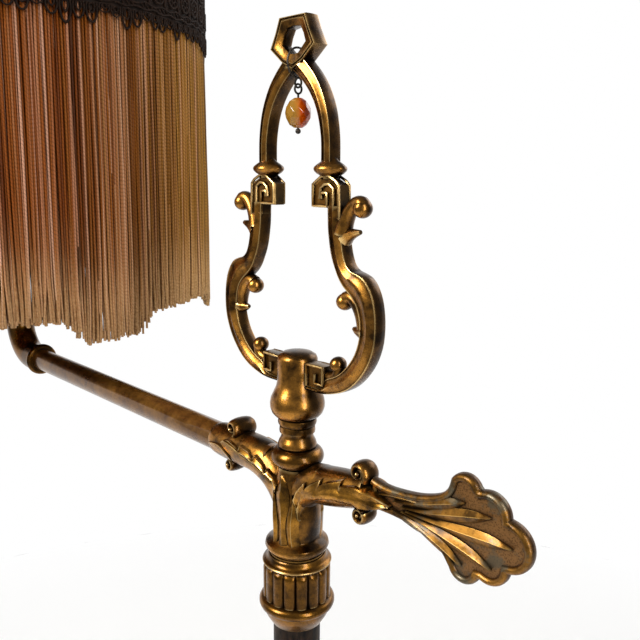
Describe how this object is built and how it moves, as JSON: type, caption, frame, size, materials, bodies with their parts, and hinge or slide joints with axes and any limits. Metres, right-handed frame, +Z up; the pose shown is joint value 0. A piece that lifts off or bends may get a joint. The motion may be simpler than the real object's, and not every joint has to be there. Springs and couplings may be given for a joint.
{
  "type": "bridge floor lamp",
  "caption": "Floor lamp with a round cast base, tube column, swivelling side arm with a palmette handle, loop finial with a hanging bead, and a fringed shade on a harp.",
  "frame": {"origin": "centre of the base's lower face, on the floor, on the column's axis", "axes": "+Z up along the column; the lamp's arm and shade lie towards -X, its palmette handle towards +X"},
  "size_m": [0.5666, 0.2876, 1.5138],
  "materials": {
    "bronze_casting": "bronzed cast iron, worn on its high points",
    "felt": "pressed wool felt",
    "iron": "rough sand casting",
    "steel": "plain steel",
    "black_bushing": "black moulded phenolic",
    "antique_brass": "antique gilt brass, dark in its recesses",
    "bright_brass": "satin brass",
    "dark_shaft": "dark mottled bronze lacquer",
    "brown_arm": "brown lacquered tube with a soft shine",
    "worn_gold": "gilt casting, grey where the gilding is worn off its rim",
    "socket_insulator": "pressed fibre",
    "bulb_cap": "plain",
    "bulb_glass": "inside-frosted glass",
    "shade_wire": "tape-bound wire",
    "silk": "gathered silk",
    "lace": "crocheted dark braid",
    "fringe": "twisted rayon fringe, frayed at its ends",
    "dark_wire": "oxidised wire",
    "bead_glass": "faceted amber glass"
  },
  "bodies": {
    "column": {"base_casting": "bronze_casting", "base_felt": "felt", "base_ballast": "iron", "ballast_washer": "steel", "base_locknut": "steel", "cord_bushing": "black_bushing", "base_collar": "antique_brass", "lower_shaft": "dark_shaft", "turned_break": "antique_brass", "upper_shaft": "dark_shaft", "center_pipe": "steel", "fluted_cup": "antique_brass", "swivel_washer": "bright_brass", "finial_frame": "antique_brass"},
    "arm": {"swivel_bushing": "bright_brass", "bracket": "antique_brass", "bracket_collar": "antique_brass", "arm_tube": "brown_arm", "palmette_handle": "worn_gold", "handle_screw": "antique_brass", "arm_elbow": "antique_brass", "riser_tube": "brown_arm", "socket_cup": "antique_brass", "harp_saddle": "bright_brass", "socket_nipple": "steel", "socket_cap": "bright_brass", "socket_shell": "bright_brass", "socket_liner": "socket_insulator", "screw_shell": "bright_brass", "bulb_base": "bulb_cap", "bulb_glass": "bulb_glass", "harp": "bright_brass", "shade_knob": "antique_brass"},
    "shade": {"shade_frame": "shade_wire", "shade_spider": "shade_wire", "shade_fabric": "silk", "skirt_fabric": "silk", "lace_band": "lace", "fringe": "fringe"},
    "switch": {"switch_key": "black_bushing"},
    "hook": {"pendant_hook": "dark_wire"},
    "pendant": {"pendant_link": "dark_wire", "pendant_bead": "bead_glass"}
  },
  "joints": [
    {"name": "arm_swivel", "type": "hinge", "parent": "column", "child": "arm", "pos_m": [0, 0, 1.15], "axis": [0, 0, 1], "range_deg": [-160, 160]},
    {"name": "shade_turn", "type": "hinge", "parent": "arm", "child": "shade", "pos_m": [-0.29, 0, 1.4], "axis": [0, 0, 1], "continuous": true},
    {"name": "key_turn", "type": "hinge", "parent": "arm", "child": "switch", "pos_m": [-0.29, -0.02, 1.2841], "axis": [0, 1, 0], "continuous": true},
    {"name": "hook_swing", "type": "hinge", "parent": "column", "child": "hook", "pos_m": [0, 0, 1.318], "axis": [1, 0, 0], "range_deg": [-35, 35]},
    {"name": "bead_swing", "type": "hinge", "parent": "hook", "child": "pendant", "pos_m": [0, 0, 1.3106], "axis": [0, 1, 0], "range_deg": [-25, 25]}
  ]
}
